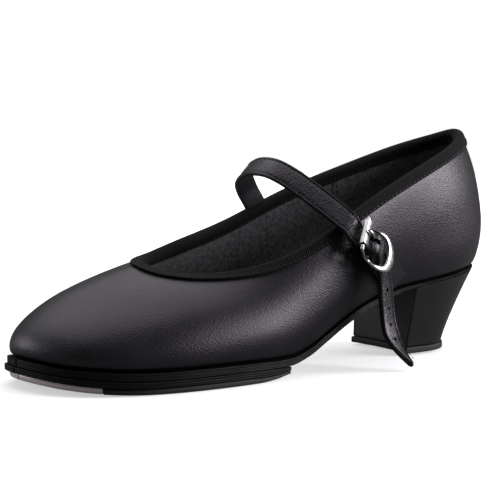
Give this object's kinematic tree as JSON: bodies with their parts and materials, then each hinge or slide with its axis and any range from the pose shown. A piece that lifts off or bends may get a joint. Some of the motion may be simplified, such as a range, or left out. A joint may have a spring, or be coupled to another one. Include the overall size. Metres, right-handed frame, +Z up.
{
  "type": "tap shoe",
  "caption": "Women's low-cut leather tap shoe for the left foot with an instep strap and buckle, a flared Cuban heel, a screwed-on metal toe tap and a metal heel tap.",
  "frame": {"origin": "on the ground, under the middle of the shoe's bounding box", "axes": "+Z is up, -Y points to the toe and +Y to the heel, +X is the outer side, where the buckle is"},
  "size_m": [0.096, 0.2422, 0.1024],
  "materials": {
    "upper_leather": "satin black full-grain leather with a fine grain",
    "strap_leather": "satin black leather with a pebbled grain and folded edges",
    "lining": "brushed dark grey lining",
    "binding": "black ribbed binding tape",
    "fibreboard": "plain brown fibreboard",
    "sole": "black stained sole, edges finely striated",
    "rubber": "matt black rubber",
    "heel": "satin black lacquered moulded heel",
    "cork": "cork filler sheet",
    "foam": "thin grey foam",
    "steel": "plain steel",
    "tap_alloy": "satin cast aluminium alloy",
    "nickel": "bright nickel plate"
  },
  "bodies": {
    "shoe": {"upper": "upper_leather", "buckle_tab": "upper_leather", "strap_anchor": "upper_leather", "vamp_lining": "lining", "heel_grip": "lining", "sock_lining": "lining", "topline_binding": "binding", "toe_puff": "fibreboard", "heel_counter": "fibreboard", "insole_board": "fibreboard", "outsole": "sole", "tap_board": "sole", "rubber_pad": "rubber", "heel_top_piece": "rubber", "heel_block": "heel", "bottom_filler": "cork", "foam_insole": "foam", "shank": "steel", "shank_rivet_1": "steel", "shank_rivet_2": "steel", "heel_screw": "steel", "heel_nail_1": "steel", "heel_nail_2": "steel", "heel_nail_3": "steel", "heel_nail_4": "steel", "heel_tap_screw_1": "steel", "heel_tap_screw_2": "steel", "heel_tap_screw_3": "steel", "toe_tap_screw_1": "steel", "toe_tap_screw_2": "steel", "toe_tap_screw_3": "steel", "toe_tap": "tap_alloy", "heel_tap": "tap_alloy"},
    "strap": {"strap": "strap_leather", "strap_lining": "upper_leather"},
    "buckle_frame": {"buckle_frame": "nickel", "buckle_pivot_bar": "nickel", "buckle_sleeve": "nickel"},
    "prong": {"prong": "nickel"}
  },
  "joints": [
    {"name": "strap_swing", "type": "hinge", "parent": "shoe", "child": "strap", "pos_m": [-0.03812, 0.01702, 0.0702], "axis": [0.03, -0.9287, -0.3695], "range_deg": [0, 115]},
    {"name": "buckle_rock", "type": "hinge", "parent": "shoe", "child": "buckle_frame", "pos_m": [0.03358, 0.03027, 0.0555], "axis": [0.428, -0.5531, -0.7147], "range_deg": [0, 5]},
    {"name": "prong_lift", "type": "hinge", "parent": "buckle_frame", "child": "prong", "pos_m": [0.03358, 0.03027, 0.0555], "axis": [-0.428, 0.5531, 0.7147], "range_deg": [0, 35]}
  ]
}
